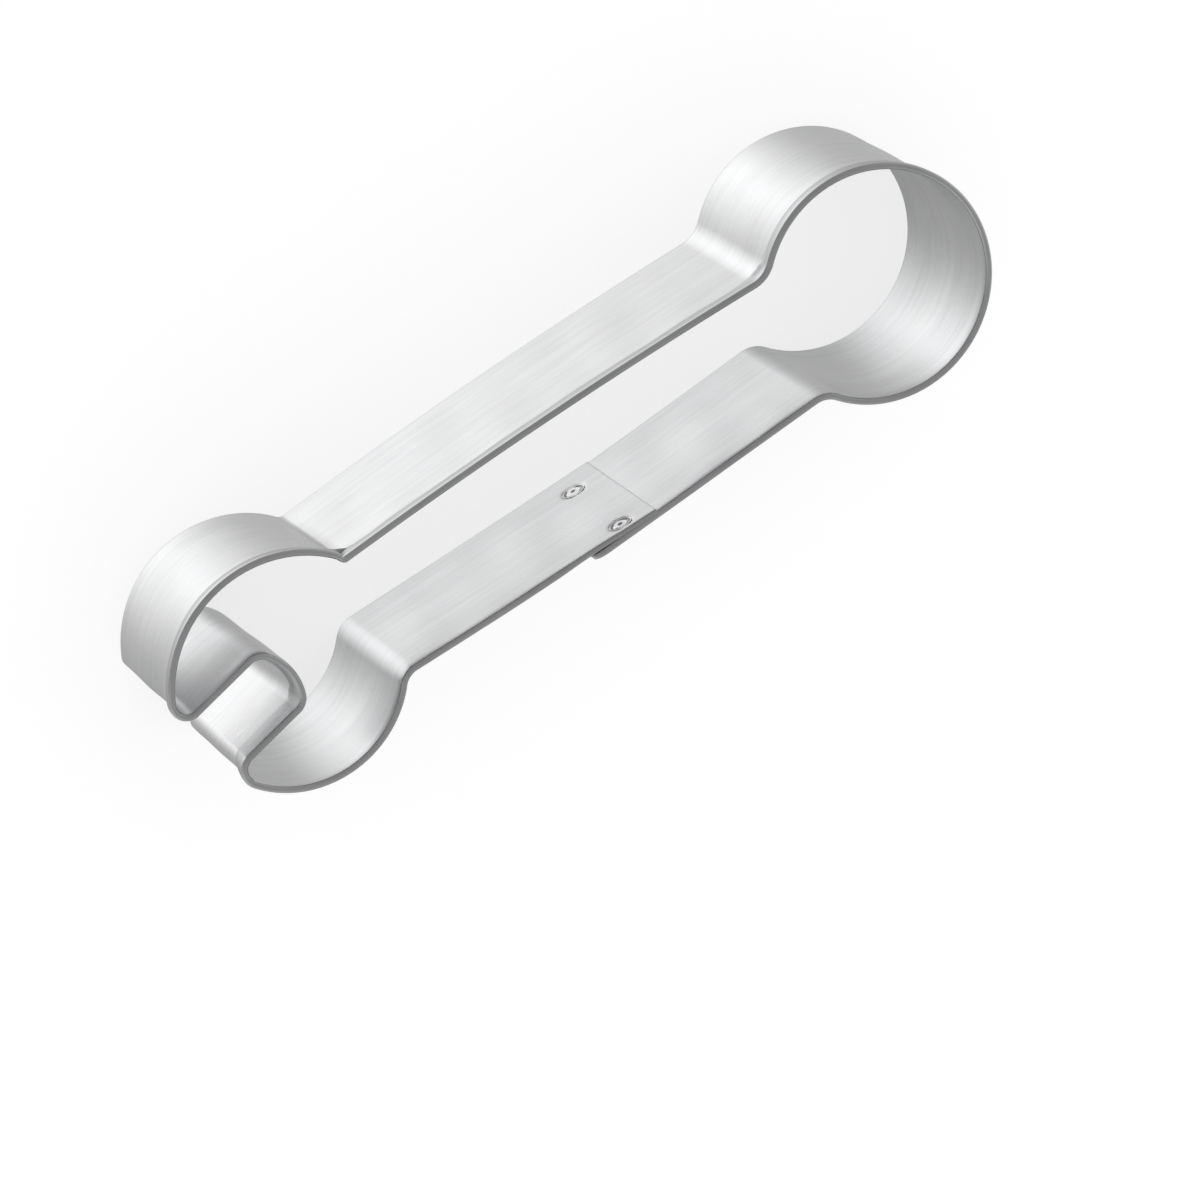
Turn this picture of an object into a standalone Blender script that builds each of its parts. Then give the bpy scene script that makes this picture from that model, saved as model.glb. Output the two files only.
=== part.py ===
"""Spanner-shaped cookie cutter bent from one strip of tinplate.

The strip runs round the outline of an open-ended spanner: a closed ring end, a
straight shank and an open jaw. Its lower edge is the raw cutting edge, on z = 0.
Its upper edge is folded outward into an open hem, the rim that the hand presses on.
The two ends of the strip lap in the middle of the shank's lower wall, and two spot
welds hold them together.

Metres, Z up, X along the shank towards the ring. The outline is drawn round the
centre of the ring, seen from above, counter-clockwise, on the middle of the sheet.
"""

import math

import bmesh
import bpy
import numpy as np
from mathutils import Vector

MM = 0.001

# Sheet and hem
SHEET = 0.30 * MM
DEPTH = 25.0 * MM
HEM_RADIUS = 0.48 * MM
HEM_PRESSED_RADIUS = 0.34 * MM
HEM_FLAP = 1.9 * MM
HEM_TIP_GAP = 0.06 * MM
FLAP_CHORD_REACH = 1.9 * MM

# Ring end and jaw end
RING_RADIUS = 14.9 * MM
HEAD_SPACING = 89.6 * MM
JAW_DROP = 1.15 * MM
JAW_UPPER_RADIUS = 15.45 * MM
JAW_LOWER_RADIUS = 13.65 * MM

# Shank walls, as distances from the axis at their two ends, and how far they bow out
UPPER_AT_RING = 8.75 * MM
UPPER_AT_JAW = 8.4 * MM
UPPER_BOW = 0.75 * MM
LOWER_AT_RING = 8.25 * MM
LOWER_AT_JAW = 8.3 * MM
LOWER_AT_LAP = 8.95 * MM
LOWER_BOW = 0.05 * MM

# Notch between the prongs
NOTCH_TURN = math.radians(12.0)
NOTCH_WIDTH = 10.1 * MM
NOTCH_FLOOR = 1.95 * MM
NOTCH_RISE = 1.2 * MM
NOTCH_FLOOR_BOW = 1.9 * MM
NOTCH_WALL_BOW = 0.001 * MM

# Bend radii at the corners
RING_NECK_UPPER = 4.6 * MM
RING_NECK_LOWER = 3.9 * MM
JAW_NECK_UPPER = 1.3 * MM
JAW_NECK_LOWER = 3.6 * MM
PRONG_TIP_UPPER = 1.3 * MM
PRONG_TIP_LOWER = 1.7 * MM
NOTCH_CORNER_UPPER = 2.7 * MM
NOTCH_CORNER_LOWER = 2.3 * MM

# How far the rim stands out past the cutting edge, as bending by hand leaves it
JAW_UPPER_LEAN = 0.55 * MM
JAW_LOWER_LEAN = 0.30 * MM
NOTCH_FLOOR_LEAN = -0.25 * MM

# Lap of the strip's two ends, measured back from the ring's centre
LAP_CENTRE = 44.2 * MM
LAP_LENGTH = 10.0 * MM
SEAM_GAP = 0.08 * MM
HEM_BLEND = 6.0 * MM
HEM_END_ROUND = 2.0 * MM
LEAN_RUN = 14.0 * MM
INNER_LEAN = 0.6
OUTER_LEAN = 0.4

# Spot welds, through the inner end of the strip and seated on the outer one
WELD_RADIUS = 1.45 * MM
WELD_GAP = 0.12 * MM
WELD_PAST_LAP_CENTRE = 0.5 * MM
LOW_WELD_HEIGHT = 5.4 * MM
HIGH_WELD_DROP = 2.5 * MM
WELD_CHAMFER = 0.12 * MM
WELD_RIM = 0.15 * MM
WELD_GROOVE_SIDE = 0.15 * MM
WELD_GROOVE_WIDTH = 0.20 * MM
WELD_GROOVE_DEPTH = 0.12 * MM
WELD_DISH_RADIUS = 0.55 * MM
WELD_DISH_DEPTH = 0.06 * MM
WELD_PIP_RADIUS = 0.38 * MM
WELD_PIP_TOP_RADIUS = 0.17 * MM
WELD_PIP_HEIGHT = 0.10 * MM
SEAT_PAST_FACE = 1.0 * MM

# The rim is turned a little against the cutting edge, as bending by hand leaves it
RIM_TURN = 0.011

# Fineness of the model
BEND_STEP = math.radians(8.0)
TIP_STEP = math.radians(16.0)
STRAIGHT_STEP = 2.5 * MM
LAP_STEP = 1.5 * MM
QUARTER_FOLD_STEPS = 4
WELD_SEGMENTS = 32

# Finish
TIN_COLOUR = (0.74, 0.74, 0.75)
TIN_ROUGHNESS = 0.30
WELD_COLOUR = (0.60, 0.60, 0.61)
WELD_ROUGHNESS = 0.38
SHARP_ANGLE = math.radians(50.0)


def smooth_step(value):
    value = min(max(value, 0.0), 1.0)
    return value * value * (3.0 - 2.0 * value)


# Outline: each side is a circle that the strip follows, and each corner an arc between two

def bowed_side(start, end, bow):
    """Circle through two points that bulges to the right of travel by bow."""
    half = (end - start) / 2.0
    left = Vector((-half.y, half.x)).normalized()
    radius = (half.length_squared + bow * bow) / (2.0 * bow)
    return (start + end) / 2.0 + left * (radius - bow), radius


def corner_arc(side_a, side_b, near, radius):
    """Arc that leaves side a and joins side b, as centre, radius, start and end.

    A positive radius turns left, with its centre on the left of travel.
    """
    centre_a, radius_a = side_a
    centre_b, radius_b = side_b
    reach_a = abs(radius_a - radius)
    reach_b = abs(radius_b - radius)
    between = centre_b - centre_a
    gap = between.length
    along = (gap * gap + reach_a * reach_a - reach_b * reach_b) / (2.0 * gap)
    across = math.sqrt(max(reach_a * reach_a - along * along, 0.0))
    unit = between / gap
    normal = Vector((-unit.y, unit.x))
    choices = [centre_a + unit * along + normal * across * side for side in (1.0, -1.0)]
    centre = min(choices, key=lambda point: (point - near).length)

    def touch(circle_centre, circle_radius):
        outward = (centre - circle_centre).normalized()
        same_way = (circle_radius > 0.0) == (circle_radius - radius > 0.0)
        return circle_centre + outward * abs(circle_radius) * (1.0 if same_way else -1.0)

    return centre, radius, touch(centre_a, radius_a), touch(centre_b, radius_b)


def walk_arc(centre, radius, start, end, bend_step, length_step):
    """Points along an arc with their outward normals, without its last point."""
    first = math.atan2(start.y - centre.y, start.x - centre.x)
    last = math.atan2(end.y - centre.y, end.x - centre.x)
    turn = (last - first) % math.tau
    if radius < 0.0:
        turn -= math.tau
    steps = max(1, math.ceil(abs(turn) / bend_step), math.ceil(abs(turn * radius) / length_step))
    stations = []
    for index in range(steps):
        angle = first + turn * index / steps
        direction = Vector((math.cos(angle), math.sin(angle)))
        outward = direction if radius > 0.0 else -direction
        stations.append((centre + direction * abs(radius), outward))
    return stations


def with_lean(stations, first, last):
    """Stations that also carry the rim's outward lean, which goes from first to last."""
    steps = len(stations)
    leans = [first + (last - first) * index / steps for index in range(steps)]
    return [(point, outward, lean) for (point, outward), lean in zip(stations, leans)]


def height_on_circle(radius, offset):
    return math.sqrt(radius * radius - offset * offset)


def lap_ends():
    """X of the outer end, where the strip starts, and of the inner end, where it stops."""
    return -LAP_CENTRE - LAP_LENGTH / 2.0, -LAP_CENTRE + LAP_LENGTH / 2.0


def outline():
    """Stations of the strip from its outer end to its inner end, each with its rim's lean."""
    jaw = Vector((-HEAD_SPACING, -JAW_DROP))
    outer_end, inner_end = lap_ends()
    outer_lap = LOWER_AT_LAP + SHEET + SEAM_GAP

    def at_ring(distance, side):
        return Vector((-height_on_circle(RING_RADIUS, distance), side * distance))

    def at_jaw(radius, distance, side):
        offset = side * distance - jaw.y
        return Vector((jaw.x + height_on_circle(radius, offset), side * distance))

    ring_upper = at_ring(UPPER_AT_RING, 1.0)
    ring_lower = at_ring(LOWER_AT_RING, -1.0)
    jaw_upper = at_jaw(JAW_UPPER_RADIUS, UPPER_AT_JAW, 1.0)
    jaw_lower = at_jaw(JAW_LOWER_RADIUS, LOWER_AT_JAW, -1.0)
    lap_outer = Vector((-LAP_CENTRE, -outer_lap))
    lap_inner = Vector((-LAP_CENTRE, -LOWER_AT_LAP))

    into = Vector((math.cos(NOTCH_TURN), math.sin(NOTCH_TURN)))
    across = Vector((-into.y, into.x))
    floor = Vector((jaw.x - NOTCH_FLOOR, jaw.y + NOTCH_RISE))
    floor_upper = floor + across * NOTCH_WIDTH / 2.0
    floor_lower = floor - across * NOTCH_WIDTH / 2.0
    mouth_upper = floor_upper - into * JAW_UPPER_RADIUS
    mouth_lower = floor_lower - into * JAW_LOWER_RADIUS

    sides = [
        bowed_side(lap_outer, ring_lower, LOWER_BOW),
        (Vector((0.0, 0.0)), RING_RADIUS),
        bowed_side(ring_upper, jaw_upper, UPPER_BOW),
        (jaw, JAW_UPPER_RADIUS),
        bowed_side(mouth_upper, floor_upper, NOTCH_WALL_BOW),
        bowed_side(floor_upper, floor_lower, -NOTCH_FLOOR_BOW),
        bowed_side(floor_lower, mouth_lower, NOTCH_WALL_BOW),
        (jaw, JAW_LOWER_RADIUS),
        bowed_side(jaw_lower, lap_inner, LOWER_BOW),
    ]
    leans = [0.0, 0.0, 0.0, JAW_UPPER_LEAN, 0.0, NOTCH_FLOOR_LEAN, 0.0, JAW_LOWER_LEAN, 0.0]
    corners = [
        (ring_lower, -RING_NECK_LOWER, BEND_STEP),
        (ring_upper, -RING_NECK_UPPER, BEND_STEP),
        (jaw_upper, -JAW_NECK_UPPER, BEND_STEP),
        (mouth_upper, PRONG_TIP_UPPER, TIP_STEP),
        (floor_upper, -NOTCH_CORNER_UPPER, TIP_STEP),
        (floor_lower, -NOTCH_CORNER_LOWER, TIP_STEP),
        (mouth_lower, PRONG_TIP_LOWER, TIP_STEP),
        (jaw_lower, -JAW_NECK_LOWER, BEND_STEP),
    ]

    def on_side(side, x):
        centre, radius = side
        return Vector((x, centre.y - height_on_circle(radius, x - centre.x)))

    stations = []
    start = on_side(sides[0], outer_end)
    for index, side in enumerate(sides):
        length_step = LAP_STEP if index in (0, len(sides) - 1) else STRAIGHT_STEP
        lean = leans[index]
        if index < len(corners):
            near, radius, step = corners[index]
            bend = corner_arc(side, sides[index + 1], near, radius)
            along = walk_arc(*side, start, bend[2], BEND_STEP, length_step)
            round_corner = walk_arc(*bend, step, length_step)
            stations += with_lean(along, lean, lean)
            stations += with_lean(round_corner, lean, leans[index + 1])
            start = bend[3]
        else:
            end = on_side(side, inner_end)
            along = walk_arc(*side, start, end, BEND_STEP, length_step)
            stations += with_lean(along, lean, lean)
            stations.append((end, (end - side[0]).normalized(), lean))
    return stations


# Section of the strip: wall, open fold and flap, as pairs of points on the sheet's two faces

def flap_stand_off(stations):
    """How far the flap's raw edge stands off the wall at each station.

    Inside a bend the edge takes a straighter way than the wall, found by averaging the
    wall's path over FLAP_CHORD_REACH. Elsewhere it keeps HEM_TIP_GAP.
    """
    places = np.array([tuple(point) for point, _, _ in stations])
    outward = np.array([tuple(normal) for _, normal, _ in stations])
    steps = np.linalg.norm(np.diff(places, axis=0), axis=1)
    along = np.concatenate([[0.0], np.cumsum(steps)])
    apart = (along[:, None] - along[None, :]) / FLAP_CHORD_REACH
    weights = np.exp(-0.5 * apart * apart) * np.gradient(along)
    averaged = weights @ places / weights.sum(axis=1, keepdims=True)
    chord = ((averaged - places) * outward).sum(axis=1)
    return HEM_TIP_GAP + np.maximum(chord, 0.0)


def hem_section(radius, stand_off):
    """Pairs of (outward, up) points on the two faces of the folded sheet."""
    inner_radius = radius - SHEET
    fold = Vector((radius - SHEET / 2.0, DEPTH - radius))
    reach = math.hypot(inner_radius, HEM_FLAP)
    upright_stand_off = 2.0 * inner_radius
    tip = SHEET / 2.0 + min(stand_off, upright_stand_off) - fold.x
    slant = math.acos(tip / reach) - math.atan2(HEM_FLAP, inner_radius)
    quarter = math.pi / 2.0
    steps = range(QUARTER_FOLD_STEPS)
    angles = [math.pi - quarter * index / QUARTER_FOLD_STEPS for index in steps]
    angles += [quarter - (quarter + slant) * index / QUARTER_FOLD_STEPS for index in steps]
    angles.append(-slant)
    pairs = [(Vector((-SHEET / 2.0, 0.0)), Vector((SHEET / 2.0, 0.0)))]
    for angle in angles:
        direction = Vector((math.cos(angle), math.sin(angle)))
        pairs.append((fold + direction * radius, fold + direction * inner_radius))
    down = Vector((-math.sin(slant), -math.cos(slant))) * HEM_FLAP
    pairs.append((pairs[-1][0] + down, pairs[-1][1] + down))
    return pairs


def lap_leans():
    """How far the pressed hems push the rims of the inner and outer ends, positive outward."""
    room = 2.0 * HEM_PRESSED_RADIUS - SHEET
    return -INNER_LEAN * room, OUTER_LEAN * room


def lap_form(point, on_outer_end, on_inner_end):
    """Hem radius at a station, and how far the lap pushes the rim outward there."""
    outer_end, inner_end = lap_ends()
    inner_lean, outer_lean = lap_leans()
    pressed = HEM_PRESSED_RADIUS
    if on_inner_end:
        towards_lap = smooth_step((point.x - outer_end + HEM_BLEND) / HEM_BLEND)
        lean = smooth_step((point.x - outer_end + LEAN_RUN) / LEAN_RUN)
        return HEM_RADIUS + (pressed - HEM_RADIUS) * towards_lap, inner_lean * lean
    if on_outer_end:
        along = min((point.x - outer_end) / HEM_END_ROUND, 1.0)
        rounded = math.sqrt(max(along * (2.0 - along), 0.0))
        lean = 1.0 - smooth_step((point.x - inner_end) / LEAN_RUN)
        return pressed + (HEM_RADIUS - pressed) * rounded, outer_lean * lean
    return HEM_RADIUS, 0.0


def turn_rim(point):
    """Turn a point about the middle of the cutter by its height's share of RIM_TURN."""
    middle = -HEAD_SPACING / 2.0
    angle = -RIM_TURN * point.z / DEPTH
    x = point.x - middle
    cosine = math.cos(angle)
    sine = math.sin(angle)
    return Vector((middle + x * cosine - point.y * sine, x * sine + point.y * cosine, point.z))


def band_mesh():
    """The whole strip as one closed body."""
    stations = outline()
    stand_offs = flap_stand_off(stations)
    half = len(stations) // 2
    mesh = bmesh.new()
    rings = []
    for index, (point, outward, lean) in enumerate(stations):
        lower_wall = point.y < 0.0 and -HEAD_SPACING < point.x < -RING_RADIUS / 2.0
        on_outer_end = lower_wall and index < half
        on_inner_end = lower_wall and index > half
        radius, pushed = lap_form(point, on_outer_end, on_inner_end)
        pairs = hem_section(radius, stand_offs[index])
        loop = [pair[0] for pair in pairs] + [pair[1] for pair in reversed(pairs)]
        ring = []
        for across, up in loop:
            place = point + outward * (across + (lean + pushed) * up / DEPTH)
            ring.append(mesh.verts.new(turn_rim(Vector((place.x, place.y, up)))))
        rings.append(ring)
    count = len(rings[0])
    for first, second in zip(rings, rings[1:]):
        for index in range(count):
            after = (index + 1) % count
            mesh.faces.new((first[index], second[index], second[after], first[after]))
    for ring in (rings[0], rings[-1]):
        for index in range(count // 2 - 1):
            opposite = count - 1 - index
            mesh.faces.new((ring[index], ring[index + 1], ring[opposite - 1], ring[opposite]))
    bmesh.ops.recalc_face_normals(mesh, faces=mesh.faces)
    data = bpy.data.meshes.new("cutter_band")
    mesh.to_mesh(data)
    mesh.free()
    return data


# Spot welds

def lap_faces(height):
    """Y of the inner end's inner face and of the outer end's inner face at a height."""
    inner_lean, outer_lean = lap_leans()
    share = height / DEPTH
    inner = -LOWER_AT_LAP + SHEET / 2.0 - inner_lean * share
    outer = -LOWER_AT_LAP - SHEET / 2.0 - SEAM_GAP - outer_lean * share
    return inner, outer


def turned_mesh(name, profile, segments):
    """Closed body of revolution about Z from (radius, height) points, bottom to top."""
    mesh = bmesh.new()
    bottom = mesh.verts.new((0.0, 0.0, profile[0][1]))
    top = mesh.verts.new((0.0, 0.0, profile[-1][1]))
    turns = [math.tau * index / segments for index in range(segments)]
    directions = [(math.cos(turn), math.sin(turn)) for turn in turns]
    rings = []
    for radius, height in profile[1:-1]:
        rings.append([mesh.verts.new((radius * x, radius * y, height)) for x, y in directions])
    for index in range(segments):
        after = (index + 1) % segments
        mesh.faces.new((bottom, rings[0][after], rings[0][index]))
        for lower, upper in zip(rings, rings[1:]):
            mesh.faces.new((lower[index], lower[after], upper[after], upper[index]))
        mesh.faces.new((rings[-1][index], rings[-1][after], top))
    bmesh.ops.recalc_face_normals(mesh, faces=mesh.faces)
    data = bpy.data.meshes.new(name)
    mesh.to_mesh(data)
    mesh.free()
    return data


def weld_profile(face):
    """Turned profile of a spot weld: a plug with a ring groove and a pip on its face."""
    rim = WELD_RADIUS - WELD_RIM
    groove_outer = rim - WELD_GROOVE_SIDE
    groove_inner = groove_outer - WELD_GROOVE_WIDTH
    bank = groove_inner - WELD_GROOVE_SIDE
    return [
        (0.0, 0.0),
        (WELD_RADIUS - WELD_CHAMFER, 0.0),
        (WELD_RADIUS, WELD_CHAMFER),
        (WELD_RADIUS, face),
        (rim, face),
        (groove_outer, face - WELD_GROOVE_DEPTH),
        (groove_inner, face - WELD_GROOVE_DEPTH),
        (bank, face),
        (WELD_DISH_RADIUS, face - WELD_DISH_DEPTH),
        (WELD_PIP_RADIUS, face + WELD_PIP_HEIGHT / 2.0),
        (WELD_PIP_TOP_RADIUS, face + WELD_PIP_HEIGHT),
        (0.0, face + WELD_PIP_HEIGHT),
    ]


def place_on_wall(thing, height, y):
    """Put a turned body on the lower wall with its axis pointing into the cutter."""
    thing.location = turn_rim(Vector((-LAP_CENTRE + WELD_PAST_LAP_CENTRE, y, height)))
    thing.rotation_euler = (-math.pi / 2.0, 0.0, 0.0)


# Materials and assembly

def metal(name, colour, roughness):
    material = bpy.data.materials.new(name)
    material.use_nodes = True
    shader = material.node_tree.nodes["Principled BSDF"]
    shader.inputs["Base Color"].default_value = (*colour, 1.0)
    shader.inputs["Metallic"].default_value = 1.0
    shader.inputs["Roughness"].default_value = roughness
    return material


def add_object(name, data, parent):
    thing = bpy.data.objects.new(name, data)
    bpy.context.scene.collection.objects.link(thing)
    thing.parent = parent
    return thing


def finish(data, material):
    """Give a visible mesh its metal and smooth shading with sharp edges."""
    data.materials.append(material)
    data.shade_smooth()
    data.set_sharp_from_angle(angle=SHARP_ANGLE)


def add_weld(name, height, band, material, parent):
    """Cut a round seat in the strip's inner end and set the weld in it."""
    inner, outer = lap_faces(height)
    seat_end = outer + WELD_GAP / 2.0
    seat_radius = WELD_RADIUS + WELD_GAP
    seat_length = inner - seat_end + SEAT_PAST_FACE
    profile = [(0.0, 0.0), (seat_radius, 0.0), (seat_radius, seat_length), (0.0, seat_length)]
    seat_name = name + "_seat"
    seat = add_object(seat_name, turned_mesh(seat_name, profile, WELD_SEGMENTS), parent)
    place_on_wall(seat, height, seat_end)
    seat.hide_render = True
    seat.display_type = "WIRE"
    cut = band.modifiers.new(seat_name, "BOOLEAN")
    cut.operation = "DIFFERENCE"
    cut.object = seat
    cut.solver = "EXACT"

    foot = outer + WELD_GAP
    data = turned_mesh(name, weld_profile(inner - foot), WELD_SEGMENTS)
    finish(data, material)
    place_on_wall(add_object(name, data, parent), height, foot)


def main():
    for thing in list(bpy.data.objects):
        bpy.data.objects.remove(thing, do_unlink=True)
    data = band_mesh()
    low = Vector([min(vertex.co[axis] for vertex in data.vertices) for axis in range(3)])
    high = Vector([max(vertex.co[axis] for vertex in data.vertices) for axis in range(3)])
    cutter = add_object("cutter", None, None)
    cutter.location = (-(low.x + high.x) / 2.0, -(low.y + high.y) / 2.0, -low.z)

    finish(data, metal("tinplate", TIN_COLOUR, TIN_ROUGHNESS))
    band = add_object("cutter_band", data, cutter)
    weld_metal = metal("weld_metal", WELD_COLOUR, WELD_ROUGHNESS)
    add_weld("spot_weld_low", LOW_WELD_HEIGHT, band, weld_metal, cutter)
    add_weld("spot_weld_high", DEPTH - HIGH_WELD_DROP, band, weld_metal, cutter)


main()
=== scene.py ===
"""Looks of the spanner-shaped cookie cutter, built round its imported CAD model.

The strip is modelled again on the same outline as the CAD node, with a fine open hem,
a raw cutting edge, a buckled flap in the notch and the marks that bending leaves.
The two spot welds are dimpled discs that sit in their hollows in the lap.

Metres, Z up, in the row frame: +X runs along the shank from the jaw to the ring.
"""

import math

import bpy
import numpy as np
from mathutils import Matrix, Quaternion, Vector

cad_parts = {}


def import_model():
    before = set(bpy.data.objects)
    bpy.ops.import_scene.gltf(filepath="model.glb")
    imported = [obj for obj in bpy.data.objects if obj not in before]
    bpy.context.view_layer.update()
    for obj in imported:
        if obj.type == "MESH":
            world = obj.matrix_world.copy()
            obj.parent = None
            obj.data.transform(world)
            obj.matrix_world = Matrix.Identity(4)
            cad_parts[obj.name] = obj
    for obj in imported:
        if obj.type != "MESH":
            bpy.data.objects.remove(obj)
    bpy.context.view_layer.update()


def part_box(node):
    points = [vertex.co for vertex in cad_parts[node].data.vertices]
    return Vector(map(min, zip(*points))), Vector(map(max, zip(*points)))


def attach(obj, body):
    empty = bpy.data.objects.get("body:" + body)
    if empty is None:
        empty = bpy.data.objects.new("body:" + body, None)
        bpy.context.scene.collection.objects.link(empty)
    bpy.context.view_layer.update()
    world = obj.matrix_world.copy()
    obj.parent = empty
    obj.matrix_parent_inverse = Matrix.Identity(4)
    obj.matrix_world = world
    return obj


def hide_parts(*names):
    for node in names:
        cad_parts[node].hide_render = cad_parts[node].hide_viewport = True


MM = 0.001

# Sheet and hem: as in the CAD model, but with a flap whose raw edge stands off the wall
SHEET = 0.30 * MM
DEPTH = 25.0 * MM
HEM_RADIUS = 0.49 * MM
HEM_FLAP = 1.9 * MM
HEM_TIP_GAP = 0.14 * MM
HEM_NIP = math.radians(2.0)
FLARE_LIMITS = (math.radians(-40.0), math.radians(80.0))
FLARE_TRIALS = 24

# Outline, as in the CAD model
RING_RADIUS = 14.9 * MM
HEAD_SPACING = 89.6 * MM
JAW_DROP = 1.15 * MM
JAW_UPPER_RADIUS = 15.45 * MM
JAW_LOWER_RADIUS = 13.65 * MM
UPPER_AT_RING = 8.75 * MM
UPPER_AT_JAW = 8.4 * MM
UPPER_BOW = 0.75 * MM
LOWER_AT_RING = 8.25 * MM
LOWER_AT_JAW = 8.3 * MM
LOWER_AT_LAP = 8.95 * MM
LOWER_BOW = 0.05 * MM
NOTCH_TURN = math.radians(12.0)
NOTCH_WIDTH = 10.1 * MM
NOTCH_FLOOR = 1.95 * MM
NOTCH_RISE = 1.2 * MM
NOTCH_FLOOR_BOW = 1.9 * MM
NEARLY_FLAT_BOW = 0.001 * MM
RING_NECK_UPPER = 4.6 * MM
RING_NECK_LOWER = 3.9 * MM
JAW_NECK_UPPER = 1.3 * MM
JAW_NECK_LOWER = 3.6 * MM
PRONG_TIP_UPPER = 1.3 * MM
PRONG_TIP_LOWER = 1.7 * MM
NOTCH_CORNER_UPPER = 2.7 * MM
NOTCH_CORNER_LOWER = 2.3 * MM

# How far the rim stands out past the cutting edge, and its turn against it in radians
JAW_UPPER_LEAN = 0.55 * MM
JAW_LOWER_LEAN = 0.30 * MM
NOTCH_FLOOR_LEAN = -0.25 * MM
RIM_TURN = 0.011

# Where the CAD model puts the ring's centre
RING_CENTRE = (44.761 * MM, 0.030 * MM)

# Lap, placed as in the CAD model: the inner hem narrows along it, and the outer hem makes way
LAP_CENTRE = 44.2 * MM
LAP_LENGTH = 10.0 * MM
SEAM_GAP = 0.08 * MM
LAP_HEM_FIRST = 0.40 * MM
LAP_HEM_LAST = 0.32 * MM
LAP_HEM_GAP = -0.12 * MM
HEM_BLEND = 6.0 * MM
HEM_END_ROUND = 2.0 * MM
HEM_END_DROP = 0.5 * MM
LEAN_RUN = 14.0 * MM
LEAN_HEIGHT = 6.0 * MM
LAP_TIP_GAP = 0.03 * MM
INNER_SHARE = 0.5

# Slow waves in the sheet. Each has a share, its turning per millimetre along and up, and a phase.
WAVE = 0.035 * MM
WAVE_FADE_LOW = 4.0 * MM
WAVE_FADE_HIGH = 3.0 * MM
SHEET_WAVES = (
    (1.0, 0.43, 0.21, 0.6),
    (0.8, 0.27, -0.34, 2.1),
    (0.6, 0.71, 0.09, 4.0),
    (0.5, 0.12, 0.52, 1.3),
)

# Slight puckers where the flap goes round an inner bend
PUCKER = 0.03 * MM
PUCKER_LENGTH = 1.5 * MM
PUCKER_REACH = 2.2 * MM

# The flap stands open in the notch: a place along the strip and the gap there, in millimetres.
# From its third place on it is also deeper than elsewhere.
NOTCH_FLAP = (
    (221.5, 0.20),
    (224.0, 0.75),
    (229.5, 0.75),
    (231.5, 0.60),
    (233.5, 0.25),
    (238.5, 0.14),
    (242.0, 0.14),
    (244.5, 0.20),
)
NOTCH_FLAP_EXTRA = 2.2 * MM
NOTCH_FLAP_RUN = 2.5 * MM
LEAST_FLAP_GAP = 0.05 * MM

# Spot welds: a ring pressed into the inner sheet, with a pip in the middle.
# Their profile gives radius and height in millimetres, from the middle out.
WELD_RECESS_RADIUS = 1.62 * MM
WELD_RECESS = 0.25 * MM
WELD_RECESS_SLOPE = 0.2 * MM
WELD_DENT = 0.10 * MM
WELD_DENT_RADIUS = 1.7 * MM
WELD_NODES = ("spot_weld_low", "spot_weld_high")
WELD_STEPS = 64
WELD_FIT_REACH = 0.35 * MM
WELD_PATCH_RADIUS = 2.4 * MM
WELD_PIP = ((0.0, -0.16), (0.14, -0.16), (0.26, -0.12), (0.38, -0.02), (0.46, 0.03), (0.52, 0.02))
WELD_LAND = ((0.6, 0.0), (0.72, 0.0), (0.82, 0.01), (0.9, 0.01))
WELD_RING = ((0.98, -0.04), (1.08, -0.13), (1.17, -0.2), (1.23, -0.2), (1.33, -0.12), (1.43, -0.01))
WELD_RIM = ((1.52, 0.012), (1.58, -0.03))
WELD_PROFILE = WELD_PIP + WELD_LAND + WELD_RING + WELD_RIM
WELD_RING_SHARE = 0.25

# Fineness of the strip's mesh
BEND_STEP = math.radians(2.5)
TIP_STEP = math.radians(4.0)
STRAIGHT_STEP = 1.2 * MM
LAP_STEP = 0.3 * MM
WALL_ROWS = 62
LEAD_STEPS = 4
FOLD_STEPS = 18
FLAP_STEPS = 9
NIP_STEPS = 2
FLARE_STEPS = 3
SHARP_ANGLE = math.radians(40.0)

# The sheet's cut edges round off, and its two ends thin out over a few close stations
EDGE_ROUND = 0.05 * MM
END_ROUND = 0.10 * MM
END_STATIONS = (0.15, 0.45, 1.0)
END_THICKNESS = 0.35

# How the sheet turns into the hem: a slow lead-in, then the tight fold
LEAD_LENGTH = 0.80 * MM
LEAD_TURN = math.radians(8.0)

# The flap's raw edge takes a straighter way round an inner bend than the wall does.
# In the tightest bend its points would run backwards, so they are gathered into a crease.
CHORD_REACH = 1.9 * MM
CHORD_SHARE = 1.5
CHORD_ENDS = 3.0
CREASE_STEP = 0.004 * MM
CREASE_LIMIT = 12

# Camera, at the photograph's viewing angle
VIEW_TARGET = Vector((-4.358, -20.439, 12.5)) * MM
VIEW_AZIMUTH = math.radians(112.126)
VIEW_ELEVATION = math.radians(64.098)
VIEW_DISTANCE = 951.05 * MM
VIEW_ROLL = math.radians(125.657)
LENS = 222.80
CLIP_START = 0.05
CLIP_END = 20.0

# Stage: a white floor, and surroundings that are palest low down on the camera's side.
# Each soft light in the surroundings has an azimuth, an elevation, a strength and a tightness.
FLOOR_COLOUR = (0.75, 0.75, 0.75)
FLOOR_GLOW = 0.68
FLOOR_HALF = 3.0
STUDIO_DIM = 0.26
STUDIO_LIGHTS = (
    (70.0, -68.0, 0.27, 12.0),
    (95.0, -50.0, 0.68, 12.0),
    (120.0, -68.0, 0.60, 12.0),
    (211.0, -45.0, 0.10, 6.0),
    (-20.0, -50.0, 0.22, 6.0),
    (211.0, 6.0, 0.30, 3.0),
    (-16.0, -8.0, 0.26, 3.0),
)
STUDIO_ON_FLOOR = 0.45

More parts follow.
